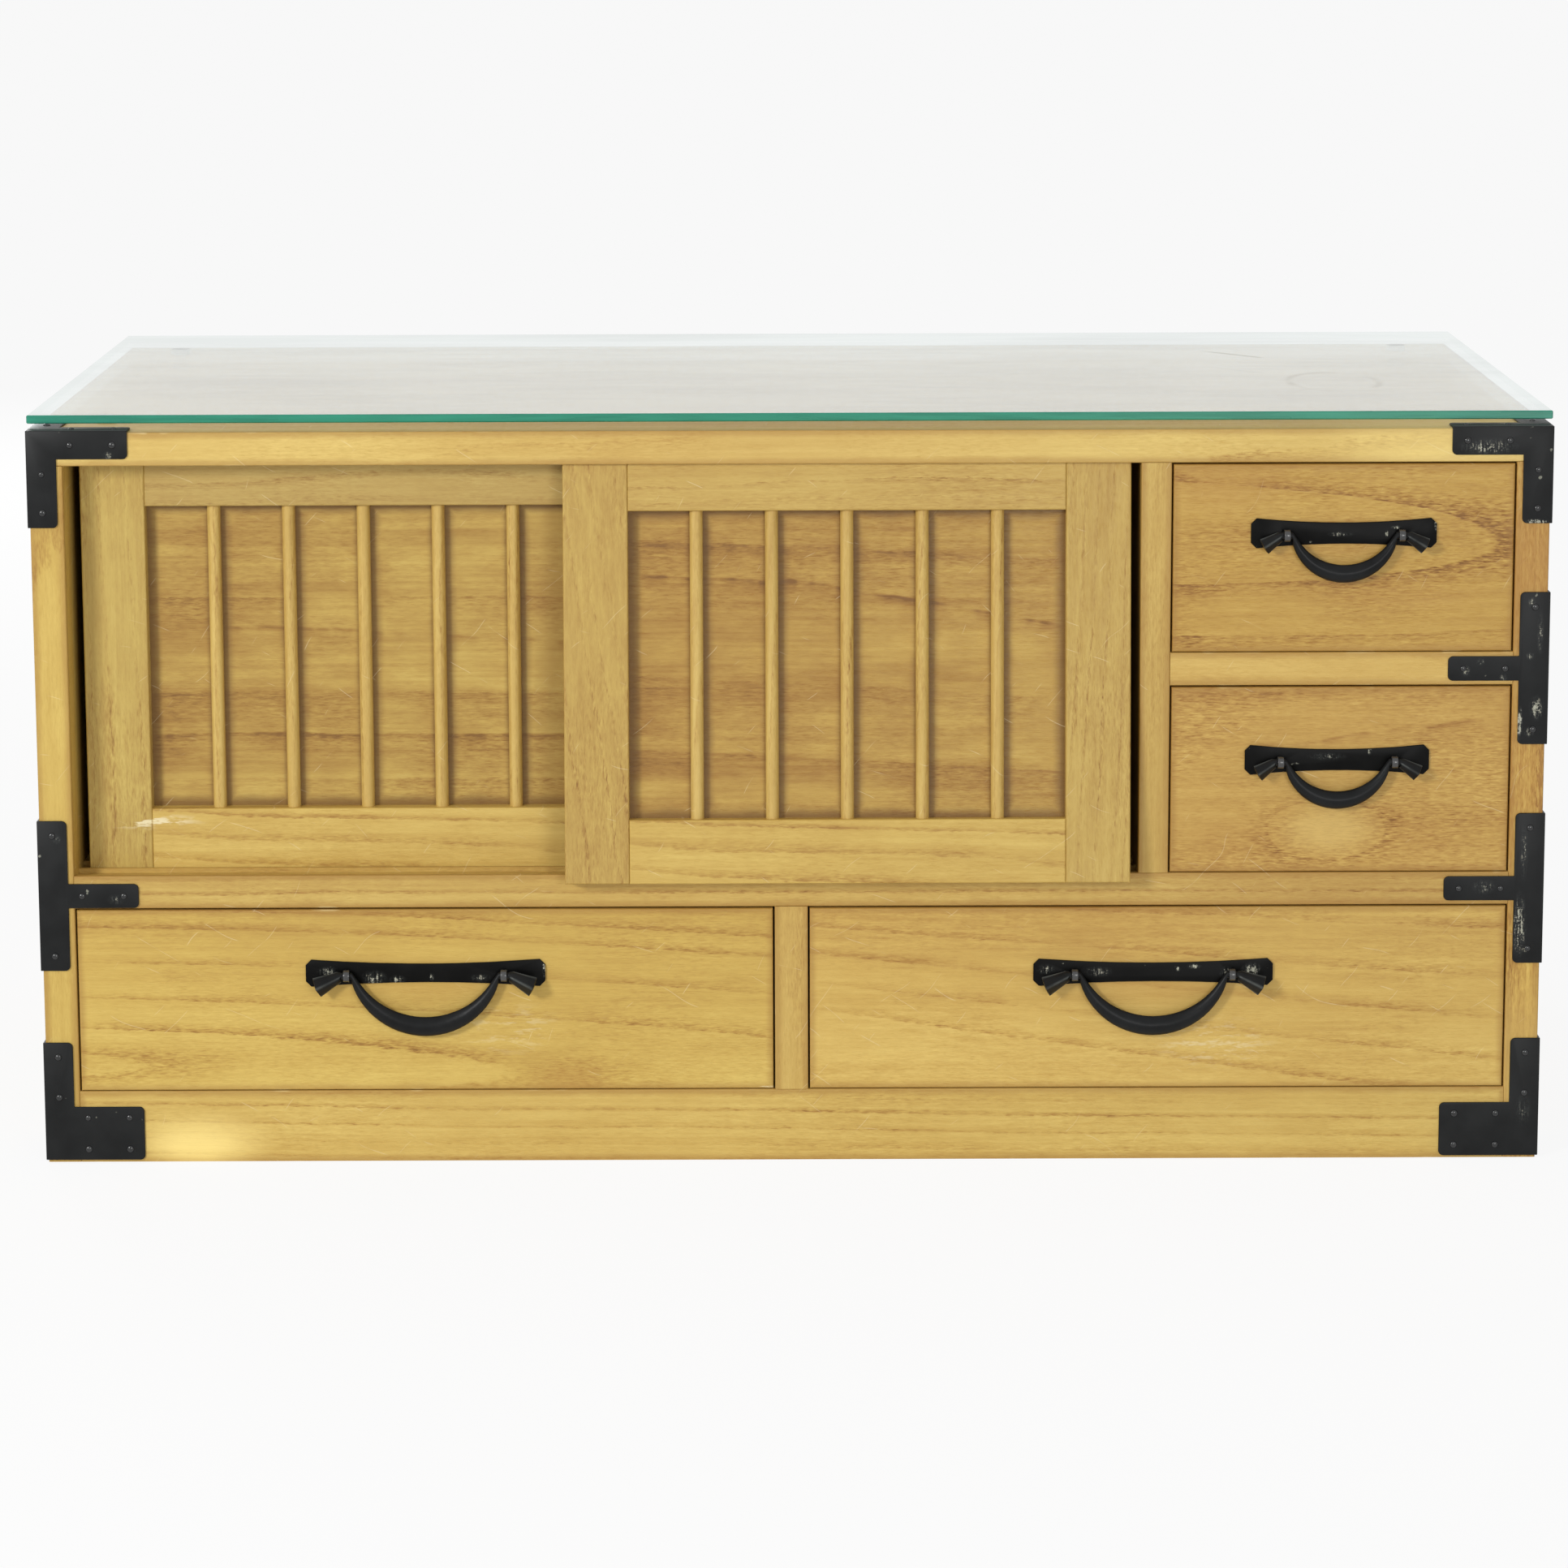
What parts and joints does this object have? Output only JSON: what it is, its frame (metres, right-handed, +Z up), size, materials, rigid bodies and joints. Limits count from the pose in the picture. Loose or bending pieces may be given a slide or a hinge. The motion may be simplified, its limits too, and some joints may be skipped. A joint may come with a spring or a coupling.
{
  "type": "tansu chest",
  "caption": "Low wooden tansu chest with slatted sliding doors, small and wide drawers with drop handles, black iron corners and a loose glass top.",
  "frame": {"origin": "on the floor, under the middle of the whole chest", "axes": "+X along the front to the viewer's right, +Y from the front to the back, +Z up; the doors and drawers face -Y"},
  "size_m": [0.906, 0.4662, 0.4535],
  "materials": {
    "case_wood": "oiled pale paulownia, straight grain, satin",
    "door_wood": "oiled pale paulownia, darker bands on the panels",
    "drawer_front_wood": "oiled pale paulownia, arched grain",
    "drawer_inner_wood": "bare paulownia",
    "back_wood": "thin plain panel",
    "iron_straps": "black lacquered sheet iron, satin, scuffed",
    "iron_nails": "black domed nail heads",
    "handle_plates": "black lacquered iron, chipped",
    "handle_eyes": "worn black iron",
    "handle_bails": "forged iron, matt black",
    "glass": "clear float glass, polished edge, green when seen edge on",
    "pads": "small clear bumper pads"
  },
  "bodies": {
    "carcass": {"top_board": "case_wood", "left_side": "case_wood", "right_side": "case_wood", "middle_shelf": "case_wood", "upper_divider": "case_wood", "lower_divider": "case_wood", "drawer_shelf": "case_wood", "bottom_board": "case_wood", "plinth_rail": "case_wood", "back_rail": "case_wood", "back_panel": "back_wood", "top_left_iron": "iron_straps", "top_right_iron": "iron_straps", "foot_left_iron": "iron_straps", "foot_right_iron": "iron_straps", "left_rail_iron": "iron_straps", "right_rail_iron": "iron_straps", "right_shelf_iron": "iron_straps", "iron_nails": "iron_nails", "glass_pads": "pads"},
    "glass": {"glass_top": "glass"},
    "left_door": {"left_door_stiles": "door_wood", "left_door_bottom_rail": "door_wood", "left_door_top_rail": "door_wood", "left_door_panel": "door_wood", "left_door_slats": "door_wood"},
    "right_door": {"right_door_stiles": "door_wood", "right_door_bottom_rail": "door_wood", "right_door_top_rail": "door_wood", "right_door_panel": "door_wood", "right_door_slats": "door_wood"},
    "left_drawer": {"left_drawer_front": "drawer_front_wood", "left_drawer_sides": "drawer_inner_wood", "left_drawer_back": "drawer_inner_wood", "left_drawer_bottom": "drawer_inner_wood", "left_drawer_handle_plate": "handle_plates", "left_drawer_handle_eyes": "handle_eyes"},
    "left_drawer_bail": {"left_drawer_bail": "handle_bails"},
    "right_drawer": {"right_drawer_front": "drawer_front_wood", "right_drawer_sides": "drawer_inner_wood", "right_drawer_back": "drawer_inner_wood", "right_drawer_bottom": "drawer_inner_wood", "right_drawer_handle_plate": "handle_plates", "right_drawer_handle_eyes": "handle_eyes"},
    "right_drawer_bail": {"right_drawer_bail": "handle_bails"},
    "small_top_drawer": {"small_top_drawer_front": "drawer_front_wood", "small_top_drawer_sides": "drawer_inner_wood", "small_top_drawer_back": "drawer_inner_wood", "small_top_drawer_bottom": "drawer_inner_wood", "small_top_drawer_handle_plate": "handle_plates", "small_top_drawer_handle_eyes": "handle_eyes"},
    "small_top_drawer_bail": {"small_top_drawer_bail": "handle_bails"},
    "small_low_drawer": {"small_low_drawer_front": "drawer_front_wood", "small_low_drawer_sides": "drawer_inner_wood", "small_low_drawer_back": "drawer_inner_wood", "small_low_drawer_bottom": "drawer_inner_wood", "small_low_drawer_handle_plate": "handle_plates", "small_low_drawer_handle_eyes": "handle_eyes"},
    "small_low_drawer_bail": {"small_low_drawer_bail": "handle_bails"}
  },
  "joints": [
    {"name": "glass_lift", "type": "slide", "parent": "carcass", "child": "glass", "axis": [0, 0, 1], "range_m": [0, 0.1]},
    {"name": "left_door_slide", "type": "slide", "parent": "carcass", "child": "left_door", "axis": [1, 0, 0], "range_m": [-0.0057, 0.2946]},
    {"name": "right_door_slide", "type": "slide", "parent": "carcass", "child": "right_door", "axis": [1, 0, 0], "range_m": [-0.2948, 0.0055]},
    {"name": "left_drawer_slide", "type": "slide", "parent": "carcass", "child": "left_drawer", "axis": [0, -1, 0], "range_m": [0, 0.33]},
    {"name": "left_drawer_bail_swing", "type": "hinge", "parent": "left_drawer", "child": "left_drawer_bail", "pos_m": [-0.22, -0.22195, 0.1163], "axis": [-1, 0, 0], "range_deg": [0, 135]},
    {"name": "right_drawer_slide", "type": "slide", "parent": "carcass", "child": "right_drawer", "axis": [0, -1, 0], "range_m": [0, 0.33]},
    {"name": "right_drawer_bail_swing", "type": "hinge", "parent": "right_drawer", "child": "right_drawer_bail", "pos_m": [0.2175, -0.22195, 0.1154], "axis": [-1, 0, 0], "range_deg": [0, 135]},
    {"name": "small_top_drawer_slide", "type": "slide", "parent": "carcass", "child": "small_top_drawer", "axis": [0, -1, 0], "range_m": [0, 0.33]},
    {"name": "small_top_drawer_bail_swing", "type": "hinge", "parent": "small_top_drawer", "child": "small_top_drawer_bail", "pos_m": [0.328, -0.22195, 0.382], "axis": [-1, 0, 0], "range_deg": [0, 135]},
    {"name": "small_low_drawer_slide", "type": "slide", "parent": "carcass", "child": "small_low_drawer", "axis": [0, -1, 0], "range_m": [0, 0.33]},
    {"name": "small_low_drawer_bail_swing", "type": "hinge", "parent": "small_low_drawer", "child": "small_low_drawer_bail", "pos_m": [0.326, -0.22195, 0.2452], "axis": [-1, 0, 0], "range_deg": [0, 135]}
  ]
}
